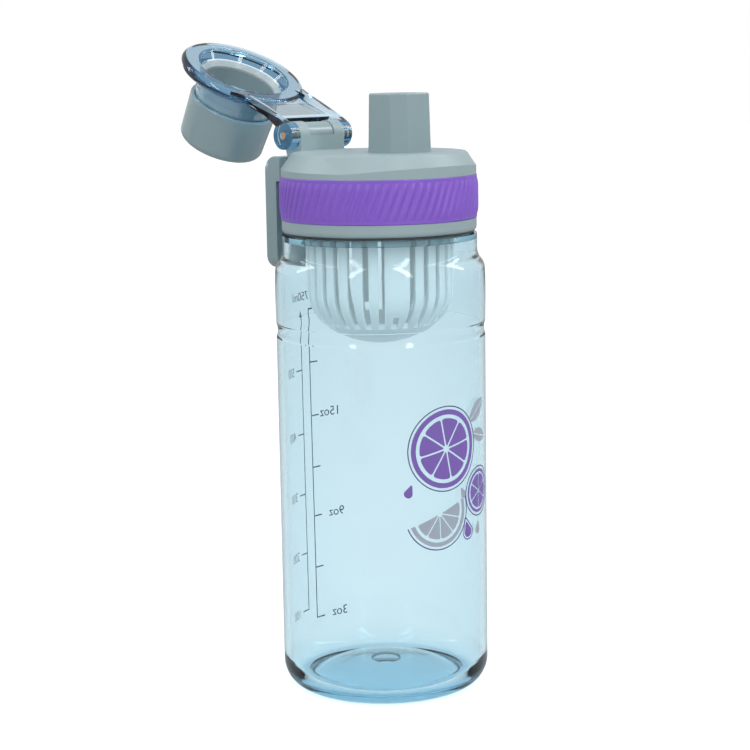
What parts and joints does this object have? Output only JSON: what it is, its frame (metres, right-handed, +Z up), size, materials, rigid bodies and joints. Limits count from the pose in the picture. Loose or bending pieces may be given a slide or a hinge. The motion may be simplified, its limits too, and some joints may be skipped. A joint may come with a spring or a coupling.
{
  "type": "fruit infuser water bottle",
  "caption": "Clear drinking bottle with a slotted infuser basket, screw cap with grip band and spout, hinged flip lid with a seal cup, and a swinging carry loop.",
  "frame": {"origin": "centre of the base, on the surface the bottle stands on", "axes": "+Z up along the bottle's axis; the lid's hinge is at +Y, its pin lies along X, and the spout is offset towards -Y"},
  "size_m": [0.0784, 0.1427, 0.242],
  "materials": {
    "clear_body": "clear, faint blue tint",
    "clear_blue": "clear, deep blue tint",
    "frosted_basket": "light grey, slightly translucent",
    "grey_plastic": "blue-grey, satin",
    "purple_grip": "soft-touch with slanted ribs",
    "silicone": "translucent white",
    "pin_brass": "drawn"
  },
  "bodies": {
    "bottle": {"bottle_body": "clear_body"},
    "basket": {"infuser_basket": "frosted_basket"},
    "cap_seal": {"cap_gasket": "silicone"},
    "cap": {"inner_cap": "grey_plastic", "cap_shell": "grey_plastic", "grip_band": "purple_grip", "hinge_pin": "pin_brass"},
    "lid": {"flip_lid": "clear_blue", "seal_cup": "grey_plastic", "rim_seal": "silicone", "spout_seal": "silicone"},
    "loop": {"carry_loop": "grey_plastic"}
  },
  "joints": [
    {"name": "cap_lift", "type": "slide", "parent": "bottle", "child": "cap_seal", "axis": [0, 0, 1], "range_m": [0, 0.135]},
    {"name": "cap_turn", "type": "hinge", "parent": "cap_seal", "child": "cap", "pos_m": [0, 0, 0.18], "axis": [0, 0, 1], "range_deg": [0, 360]},
    {"name": "basket_lift", "type": "slide", "parent": "bottle", "child": "basket", "axis": [0, 0, 1], "range_m": [0, 0.061]},
    {"name": "lid_hinge", "type": "hinge", "parent": "cap", "child": "lid", "pos_m": [0, 0.0348, 0.2067], "axis": [1, 0, 0], "range_deg": [0, 151.5]},
    {"name": "loop_swing", "type": "hinge", "parent": "cap", "child": "loop", "pos_m": [0, 0.0348, 0.2067], "axis": [1, 0, 0], "range_deg": [0, 52]}
  ],
  "couplings": [
    {"joint": "basket_lift", "follows": "cap_lift", "ratio": 0.45}
  ]
}
